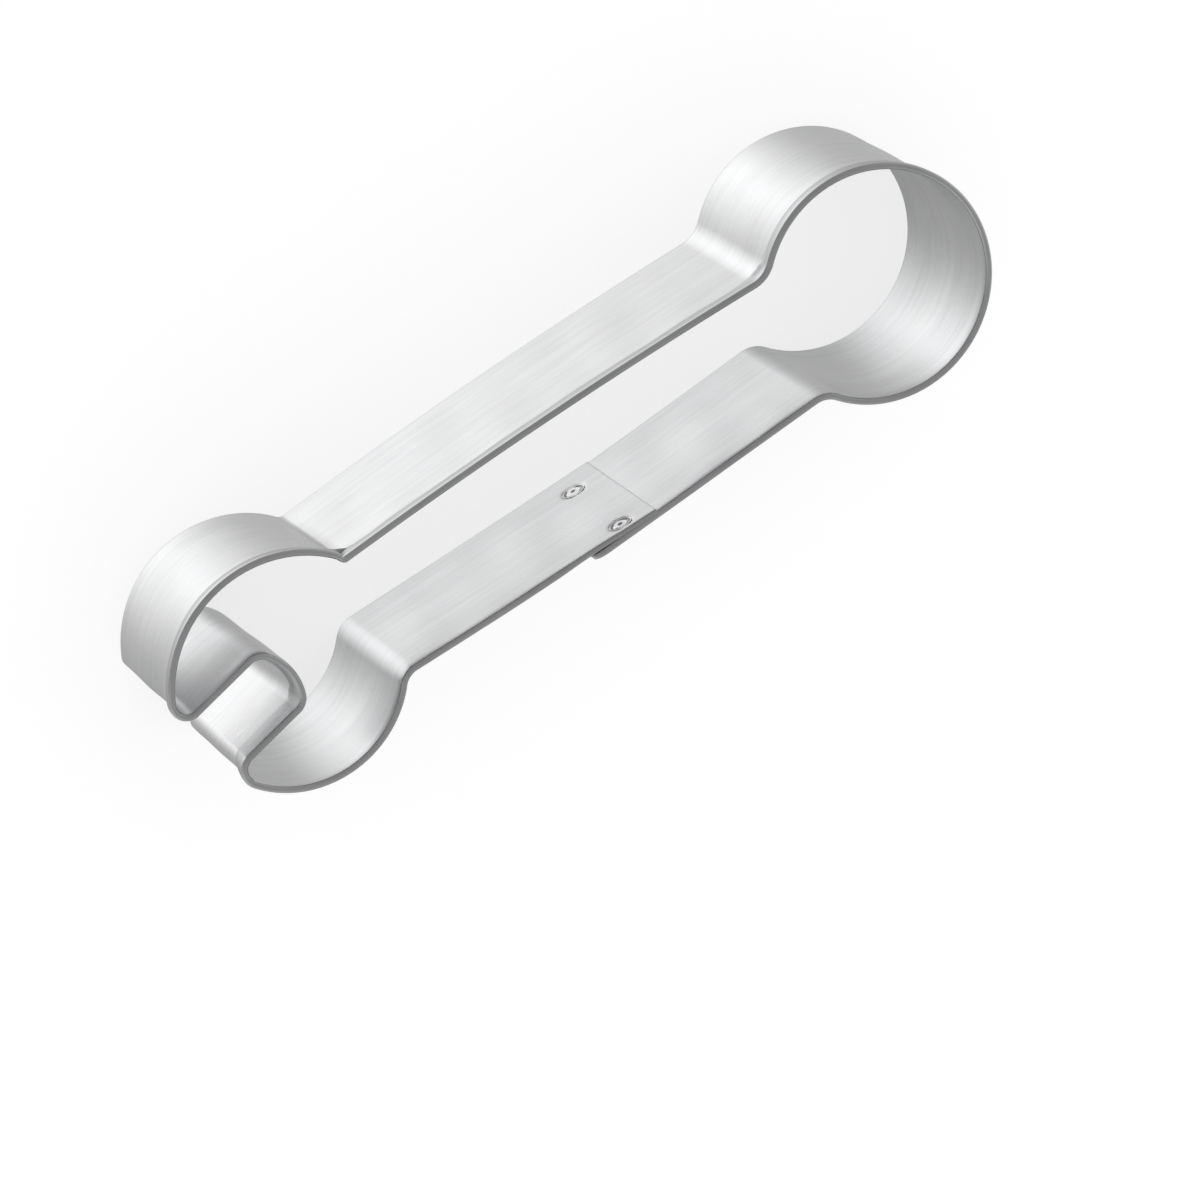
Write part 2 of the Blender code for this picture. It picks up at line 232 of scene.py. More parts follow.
# Tinplate: each noise has its scale along and across the strip, its detail and its roughness
FINE_STREAKS = (2.6, 42.0, 3.0, 0.6)
BROAD_STREAKS = (0.55, 9.0, 2.0, 0.6)
CLOUDS = (0.9, 1.7, 4.0, 0.6)
CROSS_BRUSH = (38.0, 2.2, 2.0, 0.6)
SCRATCHES = (1.1, 85.0, 1.0, 0.4)
SCRATCH_CUT = (0.66, 0.74)

# Height bands of the tinplate, in centimetres of developed height from the cutting edge
SHEARED_BAND = (0.004, 0.022)
CREST = 2.51
CREST_BAND = (0.02, 0.09)
FOLDED_BAND = (2.535, 2.60)
INSIDE_BAND = (-0.01, 0.01)
NEAR_EDGE_BAND = (0.0, 1.6)

# What each feature of the tinplate adds to its tone, its roughness and its relief
TIN_DARK = (0.55, 0.555, 0.56, 1.0)
TIN_LIGHT = (0.97, 0.97, 0.98, 1.0)
TIN_TONE = 0.55
FINE_TONE = 0.36
BROAD_TONE = 0.40
CLOUD_TONE = 0.44
# Painted shade on the inner face, deepest near the cutting edge
PAINTED_INNER_SHADE_TONE = -0.32
# Painted shade on the flap's outer face
PAINTED_FLAP_SHADE_TONE = -0.60
SCRATCH_TONE = -0.22
SHEARED_TONE = -0.55
TIN_ROUGHNESS = 0.30
CLOUD_ROUGHNESS = 0.16
FINE_ROUGHNESS = 0.10
SHEARED_ROUGHNESS = 0.18
HANDLED_ROUGHNESS = -0.06
BROAD_RELIEF = 0.5
BRUSH_RELIEF = 0.12
SCRATCH_RELIEF = -0.5
TIN_RELIEF = 0.01 * MM
TIN_RELIEF_STRENGTH = 0.35
TIN_ANISOTROPY = 0.5
ALONG_THE_STRIP = 0.25

# Weld metal: noises by scale, detail and roughness
SPECKLES = (4200.0, 4.0, 0.6)
PATCHES = (900.0, 2.0, 0.5)
WELD_DARK = (0.52, 0.52, 0.53, 1.0)
WELD_LIGHT = (0.90, 0.90, 0.91, 1.0)
PATCH_TONE = 0.6
SPECKLE_TONE = 0.5
PATCH_BAND = (0.3, 0.7)
WELD_ROUGHNESS = (0.20, 0.32)
WELD_RELIEF = 0.02 * MM
WELD_RELIEF_STRENGTH = 0.4

WHITE = (1.0, 1.0, 1.0, 1.0)


def smooth_step(value):
    """Ease from 0 to 1 as the value goes from 0 to 1."""
    value = np.clip(value, 0.0, 1.0)
    return value * value * (3.0 - 2.0 * value)


# Outline: each side is a circle that the strip follows, and each corner an arc between two

def bowed_side(start, end, bow):
    """Circle through two points that bulges to the right of travel by bow."""
    half = (end - start) / 2.0
    left = Vector((-half.y, half.x)).normalized()
    radius = (half.length_squared + bow * bow) / (2.0 * bow)
    return (start + end) / 2.0 + left * (radius - bow), radius


def corner_arc(side_a, side_b, near, radius):
    """Arc that leaves side a and joins side b; a positive radius turns left."""
    centre_a, radius_a = side_a
    centre_b, radius_b = side_b
    reach_a = abs(radius_a - radius)
    reach_b = abs(radius_b - radius)
    between = centre_b - centre_a
    gap = between.length
    along = (gap * gap + reach_a * reach_a - reach_b * reach_b) / (2.0 * gap)
    across = math.sqrt(max(reach_a * reach_a - along * along, 0.0))
    unit = between / gap
    normal = Vector((-unit.y, unit.x))
    choices = [centre_a + unit * along + normal * across * side for side in (1.0, -1.0)]
    centre = min(choices, key=lambda point: (point - near).length)

    def touch(circle_centre, circle_radius):
        outward = (centre - circle_centre).normalized()
        same_way = (circle_radius > 0.0) == (circle_radius - radius > 0.0)
        return circle_centre + outward * abs(circle_radius) * (1.0 if same_way else -1.0)

    return centre, radius, touch(centre_a, radius_a), touch(centre_b, radius_b)


def walk_arc(centre, radius, start, end, bend_step, length_step):
    """Points along an arc with their outward normals, without its last point."""
    first = math.atan2(start.y - centre.y, start.x - centre.x)
    last = math.atan2(end.y - centre.y, end.x - centre.x)
    turn = (last - first) % math.tau
    if radius < 0.0:
        turn -= math.tau
    by_turn = math.ceil(abs(turn) / bend_step)
    by_length = math.ceil(abs(turn * radius) / length_step)
    steps = max(1, by_turn, by_length)
    stations = []
    for index in range(steps):
        angle = first + turn * index / steps
        direction = Vector((math.cos(angle), math.sin(angle)))
        outward = direction if radius > 0.0 else -direction
        stations.append((centre + direction * abs(radius), outward))
    return stations


def with_lean(stations, first, last):
    """Stations that also carry the rim's outward lean, which goes from first to last."""
    steps = len(stations)
    leans = [first + (last - first) * index / steps for index in range(steps)]
    return [(point, outward, lean) for (point, outward), lean in zip(stations, leans)]


def height_on_circle(radius, offset):
    """Distance from a circle's diameter to the circle, at an offset from its centre."""
    return math.sqrt(radius * radius - offset * offset)


def lap_ends():
    """X of the outer end, where the strip starts, and of the inner end, where it stops."""
    return -LAP_CENTRE - LAP_LENGTH / 2.0, -LAP_CENTRE + LAP_LENGTH / 2.0


def outline():
    """Stations of the strip from its outer end to its inner end, counter-clockwise."""
    jaw = Vector((-HEAD_SPACING, -JAW_DROP))
    outer_end, inner_end = lap_ends()
    outer_lap = LOWER_AT_LAP + SHEET + SEAM_GAP

    def at_ring(distance, side):
        return Vector((-height_on_circle(RING_RADIUS, distance), side * distance))

    def at_jaw(radius, distance, side):
        offset = side * distance - jaw.y
        return Vector((jaw.x + height_on_circle(radius, offset), side * distance))

    ring_upper = at_ring(UPPER_AT_RING, 1.0)
    ring_lower = at_ring(LOWER_AT_RING, -1.0)
    jaw_upper = at_jaw(JAW_UPPER_RADIUS, UPPER_AT_JAW, 1.0)
    jaw_lower = at_jaw(JAW_LOWER_RADIUS, LOWER_AT_JAW, -1.0)
    lap_outer = Vector((-LAP_CENTRE, -outer_lap))
    lap_inner = Vector((-LAP_CENTRE, -LOWER_AT_LAP))

    into = Vector((math.cos(NOTCH_TURN), math.sin(NOTCH_TURN)))
    across = Vector((-into.y, into.x))
    floor = Vector((jaw.x - NOTCH_FLOOR, jaw.y + NOTCH_RISE))
    floor_upper = floor + across * NOTCH_WIDTH / 2.0
    floor_lower = floor - across * NOTCH_WIDTH / 2.0
    mouth_upper = floor_upper - into * JAW_UPPER_RADIUS
    mouth_lower = floor_lower - into * JAW_LOWER_RADIUS

    sides = [
        bowed_side(lap_outer, ring_lower, LOWER_BOW),
        (Vector((0.0, 0.0)), RING_RADIUS),
        bowed_side(ring_upper, jaw_upper, UPPER_BOW),
        (jaw, JAW_UPPER_RADIUS),
        bowed_side(mouth_upper, floor_upper, NEARLY_FLAT_BOW),
        bowed_side(floor_upper, floor_lower, -NOTCH_FLOOR_BOW),
        bowed_side(floor_lower, mouth_lower, NEARLY_FLAT_BOW),
        (jaw, JAW_LOWER_RADIUS),
        bowed_side(jaw_lower, lap_inner, LOWER_BOW),
    ]
    leans = [0.0, 0.0, 0.0, JAW_UPPER_LEAN, 0.0, NOTCH_FLOOR_LEAN, 0.0, JAW_LOWER_LEAN, 0.0]
    corners = [
        (ring_lower, -RING_NECK_LOWER, BEND_STEP),
        (ring_upper, -RING_NECK_UPPER, BEND_STEP),
        (jaw_upper, -JAW_NECK_UPPER, TIP_STEP),
        (mouth_upper, PRONG_TIP_UPPER, TIP_STEP),
        (floor_upper, -NOTCH_CORNER_UPPER, TIP_STEP),
        (floor_lower, -NOTCH_CORNER_LOWER, TIP_STEP),
        (mouth_lower, PRONG_TIP_LOWER, TIP_STEP),
        (jaw_lower, -JAW_NECK_LOWER, BEND_STEP),
    ]

    def on_side(side, x):
        centre, radius = side
        return Vector((x, centre.y - height_on_circle(radius, x - centre.x)))

    stations = []
    start = on_side(sides[0], outer_end)
    for index, side in enumerate(sides):
        length_step = LAP_STEP if index in (0, len(sides) - 1) else STRAIGHT_STEP
        lean = leans[index]
        if index < len(corners):
            near, radius, step = corners[index]
            bend = corner_arc(side, sides[index + 1], near, radius)
            along = walk_arc(*side, start, bend[2], BEND_STEP, length_step)
            round_corner = walk_arc(*bend, step, length_step)
            stations += with_lean(along, lean, lean)
            stations += with_lean(round_corner, lean, leans[index + 1])
            start = bend[3]
        else:
            end = on_side(side, inner_end)
            along = walk_arc(*side, start, end, BEND_STEP, length_step)
            stations += with_lean(along, lean, lean)
            stations.append((end, (end - side[0]).normalized(), lean))
    return stations


# Section of the strip: the sheet's middle line follows a turning angle, from the edge to the flap

def bent_line(radius, flare, flap):
    """The sheet's middle from the wall's top to the flap's tip: points, headings and lengths."""
    lead = LEAD_LENGTH * radius / HEM_RADIUS
    drift = lead * (1.0 - math.cos(LEAD_TURN)) / LEAD_TURN
    fold_radius = (2.0 * radius - SHEET - drift) / (1.0 + math.cos(LEAD_TURN))
    turns = [LEAD_TURN / LEAD_STEPS] * LEAD_STEPS
    lengths = [lead / LEAD_STEPS] * LEAD_STEPS
    fold = math.pi - LEAD_TURN + HEM_NIP
    turns += [fold / FOLD_STEPS] * FOLD_STEPS
    lengths += [fold_radius * fold / FOLD_STEPS] * FOLD_STEPS
    straight = FLAP_STEPS - NIP_STEPS - FLARE_STEPS
    turns += [0.0] * NIP_STEPS
    turns += [-(HEM_NIP + flare) / FLARE_STEPS] * FLARE_STEPS
    turns += [0.0] * straight
    lengths += [flap / FLAP_STEPS] * FLAP_STEPS
    headings = math.pi / 2.0 - np.concatenate([[0.0], np.cumsum(turns)])
    middle = (headings[:-1] + headings[1:]) / 2.0
    steps = np.column_stack([np.cos(middle), np.sin(middle)]) * np.array(lengths)[:, None]
    points = np.vstack([[0.0, 0.0], np.cumsum(steps, axis=0)])
    return points, headings, np.concatenate([[0.0], np.cumsum(lengths)])


def hem_section(radius, gap, flap):
    """The sheet's middle, its half thickness and its developed length, from edge to flap tip.

    The flap's flare is found by trial, so that its tip stands the gap away from the wall.
    """
    low, high = FLARE_LIMITS
    for _ in range(FLARE_TRIALS):
        flare = (low + high) / 2.0
        points, headings, lengths = bent_line(radius, flare, flap)
        if points[-1, 0] - SHEET < gap:
            low = flare
        else:
            high = flare
    wall_top = DEPTH - SHEET / 2.0 - points[:, 1].max()
    wall = np.linspace(0.0, wall_top, WALL_ROWS, endpoint=False)
    wall = np.insert(wall, 1, EDGE_ROUND)
    middle = np.vstack([np.column_stack([np.zeros(len(wall)), wall]), points + [0.0, wall_top]])
    heading = np.concatenate([np.full(len(wall), math.pi / 2.0), headings])
    developed = np.concatenate([wall, lengths + wall_top])
    left = np.column_stack([-np.sin(heading), np.cos(heading)])
    half = np.full(len(middle), SHEET / 2.0)
    half[0] -= EDGE_ROUND
    half[-1] -= EDGE_ROUND
    return middle, left * half[:, None], developed


def lap_form(x, on_outer_end, on_inner_end):
    """Hem radius, outward push and drop of the rim at a station of the lower wall."""
    outer_end, inner_end = lap_ends()
    share = min(max((x - outer_end) / LAP_LENGTH, 0.0), 1.0)
    inner_radius = LAP_HEM_FIRST + (LAP_HEM_LAST - LAP_HEM_FIRST) * share
    room = 2.0 * inner_radius + LAP_HEM_GAP - SHEET - SEAM_GAP
    if on_inner_end:
        towards_lap = smooth_step((x - outer_end + HEM_BLEND) / HEM_BLEND)
        push = smooth_step((x - outer_end + LEAN_RUN) / LEAN_RUN)
        radius = HEM_RADIUS + (inner_radius - HEM_RADIUS) * towards_lap
        return radius, -INNER_SHARE * room * push, 0.0
    if on_outer_end:
        along = min((x - outer_end) / HEM_END_ROUND, 1.0)
        rounded = math.sqrt(max(along * (2.0 - along), 0.0))
        push = 1.0 - smooth_step((x - inner_end) / LEAN_RUN)
        radius = LAP_HEM_LAST + (HEM_RADIUS - LAP_HEM_LAST) * rounded
        return radius, (1.0 - INNER_SHARE) * room * push, HEM_END_DROP * (1.0 - rounded)
    return HEM_RADIUS, 0.0, 0.0


def turn_rim(points, sense=1.0):
    """Turn points about the middle of the cutter by their height's share of RIM_TURN."""
    middle = -HEAD_SPACING / 2.0
    angle = -sense * RIM_TURN * points[:, 2] / DEPTH
    x = points[:, 0] - middle
    y = points[:, 1]
    turned = points.copy()
    turned[:, 0] = middle + x * np.cos(angle) - y * np.sin(angle)
    turned[:, 1] = x * np.sin(angle) + y * np.cos(angle)
    return turned


def chord_stand_off(places, outward, along):
    """How far a straighter path lies outside the wall at each station, inside a bend only."""
    weights = np.exp(-0.5 * ((along[:, None] - along[None, :]) / CHORD_REACH) ** 2)
    spacing = np.gradient(along)
    weights = weights * spacing[None, :]
    weights /= weights.sum(axis=1, keepdims=True)
    straighter = weights @ places
    off = ((straighter - places) * outward).sum(axis=1)
    reach = along[-1]
    ends = np.minimum(along, reach - along) / (CHORD_ENDS * CHORD_REACH)
    return CHORD_SHARE * np.maximum(off, 0.0) * smooth_step(ends)


def pucker(places, along):
    """Facets in the flap near the inner bends beside the ring and the jaw."""
    ring_bend = (-height_on_circle(RING_RADIUS, UPPER_AT_RING), UPPER_AT_RING)
    jaw_x = -HEAD_SPACING + height_on_circle(JAW_UPPER_RADIUS, UPPER_AT_JAW + JAW_DROP)
    near = sum(
        np.exp(-((places - np.array(bend)) ** 2).sum(axis=1) / (2.0 * PUCKER_REACH ** 2))
        for bend in (ring_bend, (jaw_x, UPPER_AT_JAW))
    )
    zigzag = np.abs((along / PUCKER_LENGTH) % 1.0 - 0.5) * 4.0 - 1.0
    return PUCKER * near * zigzag


def flap_gap(places, outward, along):
    """How far the flap's raw edge stands off the wall at each station."""
    gap = HEM_TIP_GAP + chord_stand_off(places, outward, along) + pucker(places, along)
    notch_places, notch_gaps = np.array(NOTCH_FLAP).T * MM
    notch = np.interp(along, notch_places, notch_gaps)
    inside = (along > notch_places[0]) & (along < notch_places[-1])
    return np.maximum(np.where(inside, notch, gap), LEAST_FLAP_GAP)


def flap_length(along):
    """Depth of the flap, which the bends of the notch draw out."""
    first, last = NOTCH_FLAP[2][0] * MM, NOTCH_FLAP[-1][0] * MM
    opens = smooth_step((along - first) / NOTCH_FLAP_RUN)
    closes = smooth_step((last - along) / NOTCH_FLAP_RUN)
    return HEM_FLAP + NOTCH_FLAP_EXTRA * opens * closes


def sheet_wave(x, height):
    """Slow waves that rolling and bending leave in the sheet, the same on both lapped ends."""
    wave = sum(
        share * np.sin(along * x / MM + up * height / MM + phase)
        for share, along, up, phase in SHEET_WAVES
    )
    fade = smooth_step(height / WAVE_FADE_LOW) * smooth_step((DEPTH - height) / WAVE_FADE_HIGH)
    return WAVE * wave * fade


def rounded_ends(stations):
    """Stations with a few more close to each end of the strip, where the cut edges round off."""
    def between(first, second, distance):
        share = distance / (second[0] - first[0]).length
        point = first[0].lerp(second[0], share)
        return point, first[1].lerp(second[1], share).normalized(), first[2]

    offsets = [END_ROUND * share for share in END_STATIONS]
    head = [between(stations[0], stations[1], offset) for offset in offsets]
    tail = [between(stations[-1], stations[-2], offset) for offset in reversed(offsets)]
    return stations[:1] + head + stations[1:-1] + tail + stations[-1:]


def ease_creases(verts, places):
    """Corner points, with those gathered that would run backwards in the tightest inner bend."""
    forward = np.diff(places, axis=0)
    forward /= np.linalg.norm(forward, axis=1)[:, None]
    steps = np.diff(verts[:, :, :2], axis=0)
    backwards = (steps * forward[:, None]).sum(axis=2) < 0.0
    for column in np.flatnonzero(backwards.any(axis=0)):
        # The run widens until the path enters and leaves it going forward
        path = verts[:, column, :2]
        found = np.flatnonzero(backwards[:, column])
        first, last = found[0], found[-1] + 1
        for _ in range(CREASE_LIMIT):
            middle = path[first:last + 1].mean(axis=0)
            reached = (middle - path[first - 1]) @ forward[first - 1]
            left = (path[last + 1] - middle) @ forward[last]
            if min(reached, left) > (last - first) * CREASE_STEP:
                break
            first, last = first - 1, last + 1
        rows = np.arange(first, last + 1)
        spread = (rows - rows.mean()) * CREASE_STEP
        verts[rows, column] = verts[rows, column].mean(axis=0)
        verts[rows, column, :2] += forward[rows] * spread[:, None]
    return verts


def strip_points():
    """Corner points and UV places of the strip, one row for each station."""
    stations = rounded_ends(outline())
    places = np.array([tuple(point) for point, _, _ in stations])
    outward = np.array([tuple(normal) for _, normal, _ in stations])
    steps = np.linalg.norm(np.diff(places, axis=0), axis=1)
    along = np.concatenate([[0.0], np.cumsum(steps)])
    gaps = flap_gap(places, outward, along)
    flaps = flap_length(along)
    half = len(stations) // 2
    verts, uvs = [], []
    for index, (x, y) in enumerate(places):
        on_lower_wall = y < 0.0 and -HEAD_SPACING < x < -RING_RADIUS / 2.0
        on_outer_end = on_lower_wall and index < half
        on_inner_end = on_lower_wall and index > half
        radius, push, drop = lap_form(x, on_outer_end, on_inner_end)
        gap = gaps[index]
        if on_inner_end:
            closed = smooth_step((x - lap_ends()[0] + HEM_BLEND) / HEM_BLEND)
            gap += (LAP_TIP_GAP - gap) * closed
        middle, thickness, developed = hem_section(radius, gap, flaps[index])
        from_end = min(min(along[index], along[-1] - along[index]) / END_ROUND, 1.0)
        rounded = math.sqrt(1.0 - (1.0 - from_end) ** 2)
        thickness = thickness * (END_THICKNESS + (1.0 - END_THICKNESS) * rounded)
        loop = np.vstack([middle + thickness, (middle - thickness)[::-1]])
        height = loop[:, 1]
        across = loop[:, 0] + stations[index][2] * height / DEPTH
        across += push * smooth_step(1.0 - (DEPTH - height) / LEAN_HEIGHT)
        across += sheet_wave(np.full(len(height), x), height)
        height = height - drop * smooth_step(1.0 - (DEPTH - height) / LEAN_HEIGHT)
        if on_inner_end:
            across += weld_marks(x, height, len(middle))
        flat = places[index] + outward[index] * across[:, None]
        verts.append(np.column_stack([flat, height]))
        v = np.concatenate([developed, -developed[::-1]])
        uvs.append(np.column_stack([np.full(len(v), along[index]), v]))
    return ease_creases(np.array(verts), places), np.array(uvs) / (10.0 * MM)


def weld_recess(distance):
    """Depth of the recess that a weld sits in, by the distance from the weld's middle."""
    return WELD_RECESS * smooth_step((WELD_RECESS_RADIUS - distance) / WELD_RECESS_SLOPE)


def weld_marks(x, height, count):
    """Dents round the welds, and the recess in the inner face that each weld sits in."""
    marks = np.zeros(len(height))
    for weld_x, weld_z in weld_places():
        distance = np.hypot(x - weld_x, height - weld_z)
        marks += WELD_DENT * np.exp(-((distance / WELD_DENT_RADIUS) ** 2))
        recess = weld_recess(distance)
        recess[count:] = 0.0
        marks += recess
    return marks


def strip_mesh(verts, uvs):
    """The strip as one closed mesh with a UV map along and across the sheet."""
    rings, count = verts.shape[:2]
    faces = []
    for ring in range(rings - 1):
        for index in range(count):
            after = (index + 1) % count
            a, b = ring * count, (ring + 1) * count
            faces.append((a + index, b + index, b + after, a + after))
    last = (rings - 1) * count
    for index in range(count // 2 - 1):
        quad = (index, index + 1, count - 2 - index, count - 1 - index)
        faces.append(quad)
        faces.append(tuple(last + corner for corner in reversed(quad)))
    mesh = bpy.data.meshes.new("cutter_strip")
    mesh.from_pydata(verts.reshape(-1, 3).tolist(), [], faces)
    layer = mesh.uv_layers.new(name="strip")
    loops = np.zeros(len(mesh.loops), dtype=np.int64)
    mesh.loops.foreach_get("vertex_index", loops)
    layer.data.foreach_set("uv", uvs.reshape(-1, 2)[loops].ravel())
    mesh.shade_smooth()
    mesh.set_sharp_from_angle(angle=SHARP_ANGLE)
    mesh.update()
    return mesh


# Spot welds

def node_centre(node):
    """Middle of a node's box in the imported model."""
    low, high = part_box(node)
    return (low + high) / 2.0


def weld_places():
    """X and height of both welds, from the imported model, in the strip's own plan."""
    places = []
    for node in WELD_NODES:
        centre = node_centre(node)
        flat = np.array([[centre.x - RING_CENTRE[0], centre.y - RING_CENTRE[1], centre.z]])
        places.append((turn_rim(flat, -1.0)[0, 0], centre.z))
    return places


def fitted_plane(offset, level, reach):
    """Level and slopes per millimetre at the origin, of a plane through the nearest points.

    A point counts by a bell curve of that reach, whose root is the weight of its equation.
    """
    weight = np.sqrt(np.exp(-0.5 * (offset ** 2).sum(axis=1) / reach ** 2))
    table = np.column_stack([np.ones(len(offset)), offset / MM])
    return np.linalg.lstsq(table * weight[:, None], level * weight, rcond=None)[0]


def weld_mesh(name, surface, x, height):
    """A turned ring and pip, laid on the sheet as it is round the weld."""
    offset = surface[:, [0, 2]] - [x, height]
    distance = np.hypot(offset[:, 0], offset[:, 1])
    near = distance < WELD_PATCH_RADIUS
    offset = offset[near]
    level = surface[near, 1] + weld_recess(distance[near])
    middle = fitted_plane(offset, level, WELD_DENT_RADIUS)
    normal = Vector((-middle[1] / MM, 1.0, -middle[2] / MM)).normalized()
    angles = np.linspace(0.0, math.tau, WELD_STEPS, endpoint=False)
    profile = np.array(WELD_PROFILE) * MM
    radii = np.append(np.repeat(profile[1:, 0], WELD_STEPS), 0.0)
    angles = np.append(np.tile(angles, len(profile) - 1), 0.0)
    raised = np.append(np.repeat(profile[1:, 1], WELD_STEPS), profile[0, 1])

    # The ring is deepest at its two ends along the strip
    ring = np.append(np.repeat([step in WELD_RING for step in WELD_PROFILE[1:]], WELD_STEPS), False)
    deepest = WELD_RING_SHARE + (1.0 - WELD_RING_SHARE) * np.cos(angles) ** 2
    raised = np.where(ring, raised * deepest, raised)

    # Each point lies on the sheet as it is there, raised square to the weld's own plane
    spread = radii[:, None] * np.column_stack([np.cos(angles), np.sin(angles)])
    base = np.array([fitted_plane(offset - place, level, WELD_FIT_REACH)[0] for place in spread])
    verts = np.column_stack([x + spread[:, 0], base, height + spread[:, 1]])
    verts += raised[:, None] * np.array(normal)
    centre = len(verts) - 1
    back = np.array([x, base[centre], height]) - WELD_RECESS * np.array(normal)
    verts = np.vstack([verts, back])

    faces = []
    rim = (len(profile) - 2) * WELD_STEPS
    for index in range(WELD_STEPS):
        after = (index + 1) % WELD_STEPS
        faces.append((centre, after, index))
        for inner in range(0, rim, WELD_STEPS):
            outer = inner + WELD_STEPS
            faces.append((inner + index, inner + after, outer + after, outer + index))
        faces.append((centre + 1, rim + index, rim + after))
    mesh = bpy.data.meshes.new(name)
    mesh.from_pydata(verts.tolist(), [], faces)
    mesh.shade_smooth()
    mesh.update()
    return mesh


# Materials

def add_node(tree, kind, **values):
    """A shader node with the named inputs or properties set."""
    node = tree.nodes.new(kind)
    for name, value in values.items():
        if name in node.inputs:
            node.inputs[name].default_value = value
        else:
            setattr(node, name, value)
    return node


def stretched_noise(tree, uv, noise_form):
    """Noise on the strip's own map, drawn out along the strip."""
    along, across, detail, roughness = noise_form
    mapping = add_node(tree, "ShaderNodeMapping", Scale=(along, across, 1.0))
    noise = add_node(tree, "ShaderNodeTexNoise", Scale=1.0, Detail=detail, Roughness=roughness)
    tree.links.new(uv, mapping.inputs["Vector"])
    tree.links.new(mapping.outputs["Vector"], noise.inputs["Vector"])
    return noise.outputs["Fac"]


def math_node(tree, operation, first, second=None, third=None, clamp=False):
    """Output of a math node whose inputs are sockets or numbers."""
    node = add_node(tree, "ShaderNodeMath", operation=operation)
    node.use_clamp = clamp
    for socket, value in zip(node.inputs, (first, second, third)):
        if isinstance(value, bpy.types.NodeSocket):
            tree.links.new(value, socket)
        elif value is not None:
            socket.default_value = value
    return node.outputs[0]


def mapped(tree, value, band, to_min, to_max):
    """The value eased from one number to another as it crosses a band."""
    node = add_node(
        tree, "ShaderNodeMapRange",
        **{"From Min": band[0], "From Max": band[1], "To Min": to_min, "To Max": to_max},
    )
    node.interpolation_type = "SMOOTHSTEP"
    tree.links.new(value, node.inputs["Value"])
    return node.outputs["Result"]


def weighted_sum(tree, base, terms, clamp=False):
    """Base plus each value times its share."""
    total = base
    for value, share in terms:
        last = value is terms[-1][0]
        total = math_node(tree, "MULTIPLY_ADD", value, share, total, clamp=clamp and last)
    return total


def centred(base, *shares):
    """Base of a sum whose first noises, by their shares, are meant about their middle of 0.5."""
    return base - 0.5 * sum(shares)


def colour_between(tree, tone, dark, light):
    """Colour from dark to light by a tone."""
    colour = add_node(tree, "ShaderNodeMix", data_type="RGBA")
    colour.inputs["A"].default_value = dark
    colour.inputs["B"].default_value = light
    tree.links.new(tone, colour.inputs["Factor"])
    return colour.outputs["Result"]


def relief(tree, height, strength, distance, shader):
    """Bump of the shader's surface by a height."""
    bump = add_node(tree, "ShaderNodeBump", Strength=strength, Distance=distance)
    tree.links.new(height, bump.inputs["Height"])
    tree.links.new(bump.outputs["Normal"], shader.inputs["Normal"])


